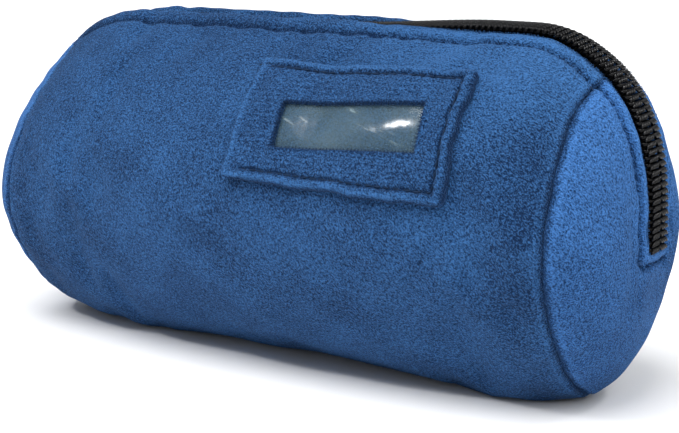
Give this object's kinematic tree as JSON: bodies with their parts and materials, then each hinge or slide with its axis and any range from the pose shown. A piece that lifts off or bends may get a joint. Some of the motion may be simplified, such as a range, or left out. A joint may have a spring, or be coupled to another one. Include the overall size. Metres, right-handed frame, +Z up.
{
  "type": "padded zip case",
  "caption": "Padded velour barrel case with domed ends, a zip over its top and down both ends, and a clear label holder.",
  "frame": {"origin": "centre of the case's footprint, on the surface that it stands on", "axes": "+X along the case and its zip, -Y the front with the label holder, +Z up"},
  "size_m": [0.2112, 0.0805, 0.0971],
  "materials": {
    "velour": "short-pile blue velour with a bright nap at grazing angles",
    "label_velour": "short-pile blue velour, hemmed and topstitched",
    "padding": "soft open-cell foam",
    "lining": "smooth dark woven lining",
    "zip_tape": "black woven polyester tape",
    "zip_coil": "black nylon coil with small bright highlights",
    "zip_metal": "black enamelled die-cast metal",
    "clear_vinyl": "clear soft vinyl with light scuffs"
  },
  "bodies": {
    "root": {"outer_body_panel": "velour", "outer_end_panel_left": "velour", "outer_end_panel_right": "velour", "padding_base": "padding", "padding_end_left_base": "padding", "padding_end_right_base": "padding", "lining_body": "lining", "lining_end_left": "lining", "lining_end_right": "lining", "bottom_stop": "zip_coil"},
    "front_flank": {"padding_front": "padding", "padding_end_left_front": "padding", "padding_end_right_front": "padding", "zip_tape_front": "zip_tape", "zip_coil_front": "zip_coil", "top_stop_front": "zip_coil", "label_frame": "label_velour", "label_window": "clear_vinyl"},
    "back_flank": {"padding_back": "padding", "padding_end_left_back": "padding", "padding_end_right_back": "padding", "zip_tape_back": "zip_tape", "zip_coil_back": "zip_coil", "top_stop_back": "zip_coil"},
    "slider": {"slider_body": "zip_metal"},
    "pull": {"pull_tab": "zip_metal"}
  },
  "joints": [
    {"name": "front_flank_open", "type": "hinge", "parent": "root", "child": "front_flank", "pos_m": [0, 0, 0.042], "axis": [1, 0, 0], "range_deg": [0, 15], "stiffness_Nm_per_rad": 0.25, "springref_deg": -5.73, "deforming": ["outer_body_panel", "outer_end_panel_left", "outer_end_panel_right", "lining_body", "lining_end_left", "lining_end_right"]},
    {"name": "back_flank_open", "type": "hinge", "parent": "root", "child": "back_flank", "pos_m": [0, 0, 0.042], "axis": [-1, 0, 0], "range_deg": [0, 15], "stiffness_Nm_per_rad": 0.25, "springref_deg": -5.73},
    {"name": "slider_travel", "type": "hinge", "parent": "front_flank", "child": "slider", "pos_m": [-0.05503, 0, 0.04908], "axis": [0, 1, 0], "range_deg": [0, 87], "deforming": ["zip_coil_front", "zip_coil_back", "zip_tape_front", "zip_tape_back"]},
    {"name": "pull_swing", "type": "hinge", "parent": "slider", "child": "pull", "pos_m": [-0.1058, 0, 0.04932], "axis": [0, 1, 0], "range_deg": [0, 130]}
  ]
}
